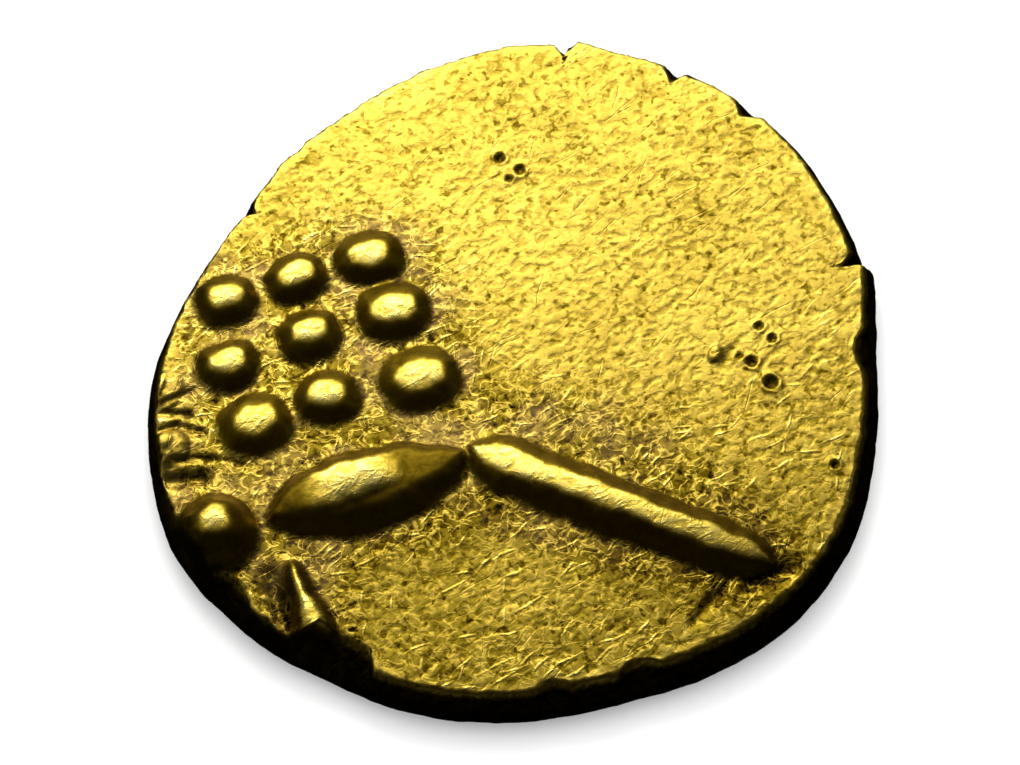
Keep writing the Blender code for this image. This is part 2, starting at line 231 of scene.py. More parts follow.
# The blank: the flan before it is struck. Lengths in mm, angles in degrees from +X.
flan = {
    "outlineStep": 15,
    "outline": [
        0.96, 0.985, 1.01, 1.04, 1.05, 1.04, 1.025, 0.983,
        0.94, 0.92, 0.905, 0.935, 0.985, 1.02, 1.05, 1.04,
        1.02, 1.015, 1.0, 0.985, 1.0, 1.015, 1.005, 0.975,
    ],
    "edgeThickness": 0.60,
    "faceDome": 0.06,
    "faceInset": 0.14,
    "deepInsetAngle": 300,
    "deepInsetShare": 0.4,
    "undersideHollow": 0.08,
    "underEdge": 0.985,  # how near the underside's outer ring comes to the wall's foot
    "lipReach": 0.14,
    "cracksFrom": 0.86,  # share of the way out from the pole where the cracks begin
    "faceRings": 144,
    "wallRings": 20,
    # The wall from the face's edge down: share of the inset, height from underside to face
    "wallProfile": [
        (1.0, 1.0), (0.90, 0.985), (0.68, 0.89), (0.24, 0.66), (0.0, 0.45),
        (0.04, 0.30), (0.25, 0.17), (0.62, 0.05), (1.1, 0.0),
    ],
    "wallLook": ([0.0, 0.1, 0.86, 0.94], [0.3, 1.0, 1.0, 0.0]),  # heights, and how wall-like each is
    # Cracks and chips: direction, half width, depth, and 1 for a sharp one or more for a blunt one
    "cracks": {
        "biteRight": (3.5, 4.5, 0.10, 2),
        "splitRight": (19.9, 1.4, 0.22, 1),
        "notchUpperRight": (52.0, 2.4, 0.14, 1),
        "notchUpper": (65.2, 1.6, 0.18, 1),
        "splitTop": (82.7, 1.6, 0.17, 1),
        "notchLeft": (146.6, 1.8, 0.11, 1),
        "chipLeft": (221.0, 4.5, 0.13, 2),
        "chipLowerLeft": (240.5, 6.4, 0.25, 5),
        "biteBottom": (275.0, 3.0, 0.07, 2),
        "biteLowerRight": (289.2, 3.6, 0.10, 2),
    },
    "proudSplits": {"splitRight": (0.09, 9.0), "splitTop": (0.08, 8.0)},
    # How much of a crack's depth is left at each height of the wall
    "crackLeft": [(0.0, 0.0), (0.25, 0.05), (0.45, 0.15), (0.87, 0.75), (1.0, 1.0)],
}


def turnBetween(angle, other):
    return (angle - other + 180) % 360 - 180


# A smooth curve from b to c, with a before them and d after them
def throughPoints(a, b, c, d, t):
    square, cube = 2 * a - 5 * b + 4 * c - d, 3 * b - a - 3 * c + d
    return 0.5 * (2 * b + (c - a) * t + square * t**2 + cube * t**3)


def outlineShare(angle):
    shares = np.array(flan["outline"])
    place = (angle % 360) / flan["outlineStep"]
    first = np.floor(place).astype(int)
    return throughPoints(*(shares[(first + k) % len(shares)] for k in (-1, 0, 1, 2)), place - first)


def crackDepth(angle):
    deepest = np.zeros_like(angle)
    for direction, halfWidth, depth, power in flan["cracks"].values():
        share = np.abs(turnBetween(angle, direction)) / halfWidth
        deepest = np.maximum(deepest, np.where(share < 1, depth * (1 - share**power), 0))
    return deepest


def proudAt(angle):
    proudest = np.zeros_like(angle)
    for name, (proud, reach) in flan["proudSplits"].items():
        behind = turnBetween(flan["cracks"][name][0], angle)
        inReach = (behind >= 0) & (behind < reach)
        proudest = np.maximum(proudest, np.where(inReach, proud * (1 - behind / reach), 0))
    return proudest


def insetAt(angle):
    lean = np.cos(np.radians(angle - flan["deepInsetAngle"]))
    return flan["faceInset"] * (1 + flan["deepInsetShare"] * lean)


def faceHeight(x, y):
    share = np.clip(1 - (x**2 + y**2) / coinRadius**2, 0, 1)
    return flan["edgeThickness"] + flan["faceDome"] * share


# Marks sunk into the struck face. Places are shares of the coin's radius, and lengths in mm.
marks = {
    "pits": [
        # place, radius, depth
        ((0.618, 0.012), 0.062, 0.030),
        ((0.585, 0.030), 0.040, 0.020),
        ((0.668, -0.050), 0.078, 0.036),
        ((0.640, 0.120), 0.050, 0.030),
        ((0.675, 0.083), 0.050, 0.030),
        ((-0.055, 0.640), 0.060, 0.030),
        ((0.000, 0.603), 0.060, 0.030),
        ((-0.030, 0.575), 0.045, 0.025),
        ((0.833, -0.294), 0.050, 0.030),
    ],
    "pitRim": 0.35,  # a rim's height as a share of the pit's depth
    "rimPlace": (1.2, 0.35),  # where the rim stands and how wide it is, as shares of the pit's radius
    "pitDarkReach": 1.25,
    "rubbedReach": 1.1,
    "bumps": [
        # place, radius along and across, turn in degrees, height, how rubbed: two worn beads with a
        # bright spot on each, and a stray fleck
        ((-0.935, -0.244), 0.24, 0.21, 20, 0.050, 0.3),
        ((-0.946, -0.226), 0.11, 0.09, 40, 0.020, 1.5),
        ((-0.940, -0.070), 0.24, 0.17, 75, 0.035, 0.2),
        ((-0.962, -0.055), 0.18, 0.06, 78, 0.020, 1.5),
        ((0.520, 0.036), 0.11, 0.075, 70, 0.026, 1.3),
    ],
    "furrows": {
        # ends, half width and depth
        "crease": ((0.566, -0.612), (0.452, -0.752), 0.050, 0.027),
        "barHollow": ((0.700, -0.600), (0.600, -0.640), 0.110, 0.040),
        "spurHollow": ((-0.655, -0.620), (-0.610, -0.800), 0.080, 0.040),
        "fleckShadow": ((0.538, -0.004), (0.562, 0.050), 0.045, 0.013),
        "beadHollow": ((-0.952, -0.346), (-0.843, -0.333), 0.090, 0.055),
        # Gaps between thin ridges of metal that flowed over the left edge
        "gapOne": ((-0.957, -0.116), (-0.877, -0.074), 0.030, 0.022),
        "gapTwo": ((-0.985, -0.137), (-0.880, -0.145), 0.035, 0.028),
        "gapThree": ((-0.980, -0.203), (-0.914, -0.175), 0.035, 0.030),
        "gapFour": ((-0.914, -0.175), (-0.843, -0.200), 0.035, 0.025),
        "gapFive": ((-0.923, -0.281), (-0.820, -0.275), 0.030, 0.026),
        "gapSix": ((-0.820, -0.275), (-0.734, -0.297), 0.028, 0.018),
    },
    # How dark the furrows are made, as dirt and painted shade
    "furrowShadeAndDirt": 0.6,
    "shallows": [
        # place, radius and depth of broad dips, where the metal didn't fill
        ((0.30, 0.30), 1.1, 0.012),
        ((-0.25, -0.62), 1.0, 0.014),
        ((0.45, -0.15), 0.9, 0.010),
    ],
}


def offsetFrom(place, x, y):
    place = Vector(place)
    return x - place.x * coinRadius, y - place.y * coinRadius


def awayFrom(place, x, y):
    return np.hypot(*offsetFrom(place, x, y))


# 1 along a furrow's middle line, falling softly to 0 at its sides
def furrowShare(x, y, start, end, halfWidth):
    along = (Vector(end) - Vector(start)) * coinRadius
    fromX, fromY = offsetFrom(start, x, y)
    share = np.clip((fromX * along.x + fromY * along.y) / along.length_squared, 0, 1)
    return np.exp(-((np.hypot(fromX - share * along.x, fromY - share * along.y) / halfWidth) ** 2))


# 0 in the middle of a bump and 1 on its outline
def bumpOut(x, y, place, reach, width, turn):
    c, s = math.cos(math.radians(turn)), math.sin(math.radians(turn))
    fromX, fromY = offsetFrom(place, x, y)
    return np.hypot((fromX * c + fromY * s) / reach, (fromY * c - fromX * s) / width)


def markDepth(x, y):
    depth = np.zeros_like(x)
    rimOut, rimWidth = marks["rimPlace"]
    for place, radius, deep in marks["pits"]:
        share = awayFrom(place, x, y) / radius
        rim = deep * marks["pitRim"] * np.exp(-(((share - rimOut) / rimWidth) ** 2))
        depth += deep * np.clip(1 - share**3, 0, 1) - rim
    for *bump, height, rubbed in marks["bumps"]:
        depth -= height * np.clip(1 - bumpOut(x, y, *bump) ** 4, 0, 1)
    for *furrow, deep in marks["furrows"].values():
        depth += deep * furrowShare(x, y, *furrow)
    for place, radius, deep in marks["shallows"]:
        depth += deep * np.exp(-((awayFrom(place, x, y) / radius) ** 2))
    return depth


# Above 0 in the pits and the furrows, which the material darkens with dirt and painted shade, and below 0
# on the rubbed tops of the bumps
def pitShare(x, y):
    share = np.zeros_like(x)
    for *bump, height, rubbed in marks["bumps"]:
        share -= rubbed * np.clip(marks["rubbedReach"] - bumpOut(x, y, *bump) ** 2, 0, 1)
    for place, radius, deep in marks["pits"]:
        out = awayFrom(place, x, y) / radius
        share = np.maximum(share, np.clip(marks["pitDarkReach"] - out**2, 0, 1))
    for furrow in marks["furrows"].values():
        share = np.maximum(share, marks["furrowShadeAndDirt"] * furrowShare(x, y, *furrow[:3]))
    return share


def markedFace(x, y):
    return faceHeight(x, y) - markDepth(x, y)


# A disc of rings, each with six more points than the last one, so that its triangles are all alike.
def discFaces(first, ringCount, facesUp):
    starts = [first] + [first + 1 + 3 * k * (k - 1) for k in range(1, ringCount + 1)]

    def at(ring, step):
        return starts[ring] + step % (6 * ring) if ring else first

    faces = []
    for ring in range(1, ringCount + 1):
        for sector in range(6):
            for step in range(ring):
                a, b = at(ring, sector * ring + step), at(ring, sector * ring + step + 1)
                c = at(ring - 1, sector * (ring - 1) + step)
                faces.append((a, b, c) if facesUp else (b, a, c))
                if step < ring - 1:
                    d = at(ring - 1, sector * (ring - 1) + step + 1)
                    faces.append((b, d, c) if facesUp else (d, b, c))
    return faces


def discRing(ring):
    return np.arange(6 * ring) * 60.0 / ring if ring else np.zeros(1)


def wallProfileAt(share):
    points = np.array(flan["wallProfile"])
    size = (flan["faceInset"], flan["edgeThickness"] - flan["undersideHollow"])
    steps = np.concatenate([[0], np.cumsum(np.hypot(*(np.diff(points, axis=0) * size).T))])
    where = share * steps[-1]
    k = int(np.clip(np.searchsorted(steps, where) - 1, 0, len(points) - 2))
    t = (where - steps[k]) / (steps[k + 1] - steps[k])
    return throughPoints(*(points[int(np.clip(k + j, 0, len(points) - 1))] for j in (-1, 0, 1, 2)), t)


def buildBlank():
    rings = flan["faceRings"]
    points, walls, lips, pits = [], [], [], []
    crackHeights, crackShares = np.array(flan["crackLeft"]).T

    # Wall is 1 on the wall and 0 on both faces. Lip is 1 on the face's edge and fades to 0 on
    # either side.
    def addRing(angle, radius, height, wall=0.0, lip=0.0):
        turn = np.radians(angle)
        x, y = radius * np.cos(turn), radius * np.sin(turn)
        z = height(x, y) if callable(height) else np.full_like(x, height)
        points.extend(np.stack([x + pole.x, y + pole.y, z], -1))
        pits.extend(pitShare(x, y) * (wall == 0.0) * (z.mean() > flan["edgeThickness"] / 2))
        walls.extend([wall] * len(x))
        lips.extend([lip] * len(x))

    for ring in range(rings + 1):
        angle = discRing(ring)
        share = ring / rings
        edge = coinRadius * outlineShare(angle) - insetAt(angle)
        nearEdge = np.clip((share - flan["cracksFrom"]) / (1 - flan["cracksFrom"]), 0, 1) ** 2
        lip = max(0.0, 1 - (1 - share) * coinRadius / flan["lipReach"])
        radius = share * edge + nearEdge * (proudAt(angle) - crackDepth(angle))
        addRing(angle, radius, markedFace, 0.0, lip)
    faces = discFaces(0, rings, True)

    angle = discRing(rings)
    plainEdge = coinRadius * outlineShare(angle) + proudAt(angle)
    columns = len(angle)
    above = len(points) - columns
    for ring in range(1, flan["wallRings"] + 1):
        inset, level = wallProfileAt(ring / flan["wallRings"])
        crack = np.interp(level, crackHeights, crackShares) * crackDepth(angle)
        height = flan["undersideHollow"] + level * (flan["edgeThickness"] - flan["undersideHollow"])
        lip = max(0.0, 1 - (1 - level) * flan["edgeThickness"] / flan["lipReach"])
        wall = float(np.interp(level, *flan["wallLook"]))
        addRing(angle, plainEdge - inset * insetAt(angle) - crack, height, wall, lip)
        below = len(points) - columns
        for k in range(columns):
            after = (k + 1) % columns
            faces.append((above + k, below + k, below + after, above + after))
        above = below

    # The underside has half as many points around, so every second edge of the wall meets its outer ring.
    underRings = rings // 2
    first = len(points)
    for ring in range(underRings + 1):
        angle = discRing(ring)
        share = ring / underRings * flan["underEdge"]
        edge = coinRadius * outlineShare(angle) - wallProfileAt(1.0)[0] * insetAt(angle)
        addRing(angle, share * edge, flan["undersideHollow"])
    faces += discFaces(first, underRings, False)
    outer = len(points) - 6 * underRings
    for k in range(6 * underRings):
        after = (k + 1) % (6 * underRings)
        a, b, c = above + 2 * k, above + 2 * k + 1, above + (2 * k + 2) % columns
        faces += [(a, outer + k, b), (b, outer + k, outer + after), (b, outer + after, c)]

    points = [tuple(p) for p in np.array(points) * mm]
    blank = newMeshObject("struckGold", points, faces, wall=walls, lip=lips, pit=pits)
    print("blank:", len(points), "points")
    return blank


# The dies: raised forms that the blank is struck into. Places are shares of the coin's radius,
# and each die is a relief on the level plane, which the strike then adds to the field.
pellets = {
    "length": 0.71,
    "width": 0.65,
    "height": 0.14,
    "places": [
        # row, column, stray from the grid, size, turn in degrees
        (0, 0, (0.023, -0.004), 0.96, 24),
        (0, 1, (0.020, -0.002), 0.94, 20),
        (0, 2, (0.024, -0.004), 1.03, 10),
        (1, 0, (-0.038, -0.014), 0.94, 18),
        (1, 1, (-0.011, 0.010), 0.96, 16),
        (1, 2, (0.022, 0.014), 1.10, 18),
        (2, 0, (-0.034, -0.004), 1.12, 16),
        (2, 1, (-0.033, 0.007), 0.97, 18),
        (2, 2, (0.024, -0.003), 1.20, 20),
    ],
    "middle": Vector((-0.551, 0.079)),
    "columnStep": Vector((0.190, 0.065)),
    "rowStep": Vector((0.072, -0.187)),
    "squareness": 0.84,  # 1 is round, and less is squarer
    "wornTop": (0.54, 0.40),  # the worn top's share of the length and of the width
    "wornRise": 0.24,  # how much the worn top still rises to its middle
    "bossPlace": Vector((-0.800, -0.496)),
    "bossDiameter": 0.88,
    "bossHeight": 0.33,
    "bossWornTop": (0.30, 0.28),
    "bossWornRise": 0.22,
    "rubbed": (1.4, 0.7, 5.0),  # the rubbed look in the middle, and its loss across and down the flank
    "domeSteps": (48, 8, 24),  # sides, rings on the worn top, and rings in all
    "underDiameter": 0.60,
    "underRing": 0.60,
    "underTurns": (206, 238, 270, 302, 334),
    "underMiddle": Vector((0.02, 0.50)),
    "underWornTop": (0.4, 0.4),
}


def facePellets():
    rows = []
    for row, column, stray, size, turn in pellets["places"]:
        place = pellets["middle"] + pellets["columnStep"] * (column - 1) + pellets["rowStep"] * (row - 1)
        sizes = (pellets["length"] * size, pellets["width"] * size, pellets["height"])
        rows.append((place + Vector(stray), sizes, turn))
    return rows


def underPellets():
    places = [pellets["underMiddle"]]
    for turn in pellets["underTurns"]:
        towards = Vector((math.cos(math.radians(turn)), math.sin(math.radians(turn))))
        places.append(pellets["underRing"] * towards)
    height = flan["undersideHollow"] * strokes["unworn"]
    return [(place, (pellets["underDiameter"], pellets["underDiameter"], height), 0) for place in places]


# One dome, and one point for each pellet, which holds its size and turn
def buildPelletDies(rows, wornTop, wornRise, squareness):
    sides, topRings, rings = pellets["domeSteps"]
    rubbed, lossAcross, lossDown = pellets["rubbed"]
    points, faces, wear = [(0, 0, 1.0)], [], [1.0]
    for ring in range(1, rings + 1):
        # Across the worn top first, and then down the flank
        across = min(1.0, ring / topRings)
        down = max(0.0, (ring - topRings) / (rings - topRings))
        rise = 1 - down
        flank = rise * (2 - rise) * 0.5 + rise * rise * (3 - 2 * rise) * 0.5
        out = across * sum(wornTop) / 2 * rise + down
        height = (1 - wornRise) * flank + wornRise * (1 - out**2)
        for side in range(sides):
            turn = 2 * math.pi * side / sides
            place = []
            for way, share in zip((math.cos(turn), math.sin(turn)), wornTop):
                foot = math.copysign(abs(way) ** squareness, way)
                place.append(way * share * across * rise + foot * down)
            points.append((*place, height))
            wear.append(max(0.0, min(1.0, rubbed - lossAcross * across - lossDown * down)))
    for side in range(sides):
        after = (side + 1) % sides
        faces.append((0, 1 + side, 1 + after))
        for ring in range(rings - 1):
            a, b = 1 + ring * sides, 1 + (ring + 1) * sides
            faces.append((a + side, b + side, b + after, a + after))
    dome = newMeshObject("pelletDome", points, faces, worn=wear)

    places, sizes, turns = [], [], []
    for place, (length, width, height), turn in rows:
        point = place * coinRadius
        places.append(((point.x + pole.x) * mm, (point.y + pole.y) * mm, 0.0))
        sizes += [length / 2 * mm, width / 2 * mm, height * mm]
        turns.append(math.radians(turn))
    dies = newMeshObject("pelletDies", places, [], dieTurn=turns)
    dies.data.attributes.new("dieSize", "FLOAT_VECTOR", "POINT").data.foreach_set("vector", sizes)

    tree, add, given = newGeometryTree("setPellets", Object=["Dome"])
    shape = add("GeometryNodeObjectInfo", {"Object": given["Dome"]}).node.outputs["Geometry"]
    size = add("GeometryNodeInputNamedAttribute", {"Name": "dieSize"}, data_type="FLOAT_VECTOR")
    turn = add("GeometryNodeInputNamedAttribute", {"Name": "dieTurn"})
    turned = add("CombineXYZ", {"Z": turn})
    placed = add(
        "GeometryNodeInstanceOnPoints",
        {"Points": given["Geometry"], "Instance": shape, "Rotation": turned, "Scale": size},
    )
    finishTree(add, placed)
    dies = applyTree(dies, tree, {"Dome": dome})
    bpy.data.objects.remove(dome)
    return dies


# Ends and bend as shares of the coin's radius. Width, height and the flank's run from foot to top in mm.
# Then shares: the width at the start and end, the height at the start, how much of the height the crest
# loses towards both ends, how much of the length rounds off, how blunt the ends are, and how high the
# crest is where its top begins to look rubbed.
underShape = ((0.50, 0.176, 0.20), (0.9, 1.1), (1.0, 0.0), (0.08, 0.5), 0.4)
strokes = {
    "upper": {
        "leafFoot": (
            [(-0.662, -0.455), (-0.40, -0.378), (-0.142, -0.280)],
            (0.97, 0.20, 0.29), (1.05, 0.94), (1.0, 0.40), (0.5, 0.60), 3.0,
        ),
        "leaf": (
            [(-0.650, -0.436), (-0.40, -0.358), (-0.163, -0.255)],
            (0.90, 0.185, 0.18), (1.08, 0.62), (1.55, 0.88), (0.5, 0.55), 1.02,
        ),
        "bar": (
            [(-0.140, -0.252), (0.252, -0.436), (0.670, -0.590)],
            (0.84, 0.21, 0.265), (0.84, 0.74), (0.90, 0.48), (0.17, 0.58), 0.10,
        ),
        "spur": (
            [(-0.608, -0.585), (-0.566, -0.69), (-0.522, -0.835)],
            (0.42, 0.20, 0.11), (0.36, 1.20), (0.75, 0.0), (0.12, 0.5), 0.4,
        ),
    },
    "under": {
        "underLong": ([(-0.62, 0.10), (0.0, -0.20), (0.64, 0.06)], *underShape),
        "underLeft": ([(-0.46, 0.62), (-0.30, 0.46), (-0.26, 0.24)], *underShape),
        "underRight": ([(0.28, 0.22), (0.34, 0.44), (0.52, 0.58)], *underShape),
    },
    "crown": 0.30,  # how much lower a worn top is at its sides
    "unworn": 2.2,  # height of the underside's devices before wear, as a share of their height now
    "runPower": 0.6,  # less than 1, so the flanks shorten less than the crest falls
    "narrowRun": (0.6, 0.04),  # the longest flank: share of the half width there, and mm more
    "wornFade": 0.25,  # how much higher the crest is where the rubbed look is full
    "wornRim": 0.92,  # share of the flank's rise where the rubbed top begins
    "steps": (200, 64),  # along a stroke and around it
}


# Rises steeply from 0 and levels off at 1
def addSwell(add, share):
    left = add("Math", (1.0, share), "SUBTRACT")
    square = add("Math", (left, left), "MULTIPLY")
    return add("Math", (1.0, square), "SUBTRACT")


def strokeTree():
    tree, add, given = newGeometryTree(
        "sweepStroke",
        Vector=["Start", "Middle", "End"],
        Float=[
            "Half Width", "Height", "Flank Run", "First Width", "Last Width", "First Height",
            "Crest Fall", "Closing", "Bluntness", "Crown", "Worn From",
        ],
    )
    steps, sides = strokes["steps"]
    share, more = strokes["narrowRun"]
    line = add(
        "GeometryNodeCurveQuadraticBezier",
        {"Resolution": steps, "Start": given["Start"], "Middle": given["Middle"], "End": given["End"]},
    )
    along = add("GeometryNodeSplineParameter")
    back = add("Math", (1.0, along), "SUBTRACT")
    nearEnd = add("Math", (along, back), "MINIMUM")
    closing = add("Math", (nearEnd, given["Closing"]), "DIVIDE", use_clamp=True)
    opened = addSwell(add, closing)
    closed = add("Math", (opened, given["Bluntness"]), "POWER")
    taper = add("MapRange", {0: along, 3: given["First Width"], 4: given["Last Width"]})
    radius = addAll(add, [taper, closed, given["Half Width"]])
    # The crest's height along the stroke
    centred = add("MapRange", {0: along, 3: -1.0})
    fallen = addAll(add, [centred, centred, given["Crest Fall"]])
    crest = add("MapRange", {0: along, 3: given["First Height"]})
    crest = add("Math", (crest, fallen), "SUBTRACT")
    for name, value in (("reach", radius), ("crest", crest)):
        line = add("GeometryNodeStoreNamedAttribute", {"Geometry": line, "Name": name, "Value": value})
    radius, crest = (
        add("GeometryNodeInputNamedAttribute", {"Name": name}) for name in ("reach", "crest")
    )
    section = add("GeometryNodeCurvePrimitiveCircle", {"Resolution": sides})
    swept = add("GeometryNodeCurveToMesh", {"Curve": line, "Profile Curve": section, "Scale": radius})
    # The round section becomes two flanks that rise from the feet to a worn flat top
    position = add("GeometryNodeInputPosition")
    axes = add("SeparateXYZ", {"Vector": position}).node.outputs
    reachSquare = add("Math", (radius, radius), "MULTIPLY")
    highSquare = add("Math", (axes["Z"], axes["Z"]), "MULTIPLY")
    aside = add("Math", (reachSquare, highSquare), "SUBTRACT")
    aside = add("Math", (aside, 0.0), "MAXIMUM")
    aside = add("Math", (aside,), "SQRT")
    inside = add("Math", (radius, aside), "SUBTRACT")
    run = add("Math", (crest, strokes["runPower"]), "POWER")
    run = add("Math", (run, given["Flank Run"]), "MULTIPLY")
    narrow = add("Math", (radius, share, more * mm), "MULTIPLY_ADD")
    run = add("Math", (run, narrow), "MINIMUM")
    rise = add("Math", (inside, run), "DIVIDE", use_clamp=True)
    swollen = addSwell(add, rise)
    footed = add("MapRange", (rise,), **smoothly)
    level = add("Mix", {0: 0.5, "A": swollen, "B": footed})
    outShare = add("Math", (aside, given["Half Width"]), "DIVIDE")
    outShare = add("Math", (outShare, 2.0), "POWER")
    crown = add("Math", (outShare, given["Crown"]), "MULTIPLY")
    crown = add("Math", (1.0, crown), "SUBTRACT")
    upper = add("FunctionNodeCompare", {"A": axes["Z"], "B": 0.0})
    height = addAll(add, [level, given["Height"], crown, crest, upper])
    flatTop = add("FunctionNodeCompare", {"A": rise, "B": strokes["wornRim"]})
    wornTo = add("Math", (given["Worn From"], strokes["wornFade"]))
    worn = add("MapRange", (crest, given["Worn From"], wornTo), **smoothly)
    worn = add("Math", (worn, flatTop), "MULTIPLY")
    swept = add("GeometryNodeStoreNamedAttribute", {"Geometry": swept, "Name": "worn", "Value": worn})
    moved = add("CombineXYZ", {"X": axes["X"], "Y": axes["Y"], "Z": height})
    swept = add("GeometryNodeSetPosition", {"Geometry": swept, "Position": moved})
    finishTree(add, swept)
    return tree


def buildStrokeDies(tree, side):
    dies = []
    for name, (line, size, widths, rise, ends, wornFrom) in strokes[side].items():
        points = [((x * coinRadius + pole.x) * mm, (y * coinRadius + pole.y) * mm, 0.0) for x, y in line]
        width, height, run = (length * mm for length in size)
        values = dict(zip(("Start", "Middle", "End"), points))
        values.update({"Half Width": width / 2, "Height": height, "Flank Run": run})
        values.update(zip(("First Width", "Last Width"), widths))
        values.update(zip(("First Height", "Crest Fall"), rise))
        values.update(zip(("Closing", "Bluntness"), ends))
        values.update({"Crown": strokes["crown"], "Worn From": wornFrom})
        dies.append(applyTree(newMeshObject(name, [], []), tree, values))
    return dies


# The strike, in mm. The relief is measured straight down onto the dies from above them.
striking = {
    "rayFrom": 1.0,
    "rayLength": 1.01,
    "deviceFrom": 0.01,  # the least relief that counts as a device's
    "straySize": 0.28,  # a worn die's outlines stray a little
    "strayReach": 0.14,
    "softness": 2,  # rounds of smoothing, because metal doesn't fill a die's corners
    # Side, the level above which the blank is struck, and the level that its devices are worn down to
    "upper": (1.0, 0.55, 1.0),
    "under": (-1.0, -0.1, 0.0),
}


# Raises the dies' relief on one side of the blank
def strikeTree():
    tree, add, given = newGeometryTree(
        "strikeBlank", Collection=["Dies"], Float=["Side", "Struck Level", "Worn Level"], Int=["Softness"]
    )
    dies = add("GeometryNodeCollectionInfo", {"Collection": given["Dies"]})
    dies = add("GeometryNodeRealizeInstances", {"Geometry": dies})
    position = add("GeometryNodeInputPosition")
    axes = add("SeparateXYZ", {"Vector": position}).node.outputs
    level = add("Math", (axes["Z"], given["Side"]), "MULTIPLY")
    above = add("CombineXYZ", {"X": axes["X"], "Y": axes["Y"], "Z": striking["rayFrom"] * mm})
    sideways = striking["strayReach"] * mm * Vector((1, 1, 0))
    stray = addStray(add, above, striking["straySize"] * mm, sideways)
    above = add("VectorMath", (above, stray))
    rubbed = add("GeometryNodeInputNamedAttribute", {"Name": "worn"})
    ray = add(
        "GeometryNodeRaycast",
        {
            "Target Geometry": dies, "Attribute": rubbed, "Source Position": above,
            "Ray Direction": (0, 0, -1), "Ray Length": striking["rayLength"] * mm,
        },
    ).node.outputs
    relief = add("SeparateXYZ", {"Vector": ray["Hit Position"]}).node.outputs["Z"]
    onFace = add("FunctionNodeCompare", {"A": level, "B": given["Struck Level"]})
    struck = add("FunctionNodeBooleanMath", (ray["Is Hit"], onFace), "AND")
    relief, worn = (
        add("GeometryNodeSwitch", {"Switch": struck, "False": 0.0, "True": value}, input_type="FLOAT")
        for value in (relief, ray["Attribute"])
    )
    device = add("FunctionNodeCompare", {"A": relief, "B": striking["deviceFrom"] * mm})
    blank = given["Geometry"]
    for name, value in (("device", device), ("worn", worn)):
        before = add("GeometryNodeInputNamedAttribute", {"Name": name})
        both = add("Math", (before, value), "MAXIMUM")
        blank = add("GeometryNodeStoreNamedAttribute", {"Geometry": blank, "Name": name, "Value": both})
    soft = add("GeometryNodeBlurAttribute", {"Value": relief, "Iterations": given["Softness"]})
    raised = add("Math", (level, soft))
    raised = add("Math", (raised, given["Worn Level"]), "MINIMUM")
    heights = {"Switch": onFace, "False": level, "True": raised}
    height = add("GeometryNodeSwitch", heights, input_type="FLOAT")
    height = add("Math", (height, given["Side"]), "MULTIPLY")
    moved = add("CombineXYZ", {"X": axes["X"], "Y": axes["Y"], "Z": height})
    blank = add("GeometryNodeSetPosition", {"Geometry": blank, "Position": moved})
    finishTree(add, blank)
    return tree


def strikeBlank(blank):
    strike, sweep = strikeTree(), strokeTree()
    across = pellets["bossDiameter"]
    boss = (pellets["bossPlace"], (across, across, pellets["bossHeight"]), 0)
    upper = [
        buildPelletDies(facePellets(), pellets["wornTop"], pellets["wornRise"], pellets["squareness"]),
        buildPelletDies([boss], pellets["bossWornTop"], pellets["bossWornRise"], 1.0),
        *buildStrokeDies(sweep, "upper"),
    ]
    under = [
        buildPelletDies(underPellets(), pellets["underWornTop"], pellets["wornRise"], 1.0),
        *buildStrokeDies(sweep, "under"),
    ]
    coin = blank
    for name, made in (("upper", upper), ("under", under)):
        side, struck, worn = striking[name]
        dies = bpy.data.collections.new(name + "Dies")
        bpy.context.scene.collection.children.link(dies)
        for die in made:
            bpy.context.scene.collection.objects.unlink(die)
            dies.objects.link(die)
        values = {"Dies": dies, "Side": side, "Struck Level": struck * mm, "Worn Level": worn * mm}
        coin = applyTree(coin, strike, {**values, "Softness": striking["softness"]})
        for die in made:
            bpy.data.objects.remove(die)
        bpy.data.collections.remove(dies)
    print("blank struck on both sides")
    return coin


# Wear: flakes and creases of the hammered face, a ragged lip and a rough wall. Lengths in mm.
wear = {
    "flakeSize": 0.082,
    "flakeNoise": {"Detail": 2.5, "Roughness": 0.58, "Distortion": 0.5},
    "lumpSize": 0.30,
    "lumpShare": 0.42,
    "stretch": 1.35,
    "trend": 30.0,  # degrees from +X, the way most marks run
    "flakeEdges": (0.37, 0.55),  # the noise's range that makes a plate's edge
    "flakeHeight": 0.0056,
    "flakeMiddle": 0.6,  # the flakes' value that leaves the face where it is
    "uprightFlat": (0.80, 0.97),  # how level a place is where flakes begin and where they are full
    "slopeShare": 0.10,  # share of the flakes' height left on a device's slopes
    "deviceShare": 0.45,  # and on a device's top
    "lipSize": 0.20,
    "lipNoise": {"Detail": 5.0, "Roughness": 0.7},
    "lipStray": 0.145,
    "lipRise": 0.15,  # share of the lip's stray that goes up or down
    "wallSize": 0.42,
    "wallNoise": {"Detail": 4.0, "Roughness": 0.6, "Distortion": 0.6},
    "wallHeight": 0.050,
    "wallMiddle": 0.55,
    "wallSquash": 2.6,  # the wall's roughness runs along it, as in a seam that hammering has closed
    "haloSteps": 320,
}


# The flakes' height from 0 to 1, in the mesh and in the material alike. The position is in mm.
def addFlakes(add, position):
    stretched = addTurned(add, position, wear["trend"], (1 / wear["stretch"], 1, 1))
    plates = add("TexNoise", {"Vector": stretched, "Scale": 1 / wear["flakeSize"], **wear["flakeNoise"]})
    low, high = wear["flakeEdges"]
    edges = add("MapRange", (plates, low, high), **smoothly)
    lumps = add("TexNoise", {"Vector": position, "Scale": 1 / wear["lumpSize"]})
    return add("Mix", {0: wear["lumpShare"], "A": edges, "B": lumps})


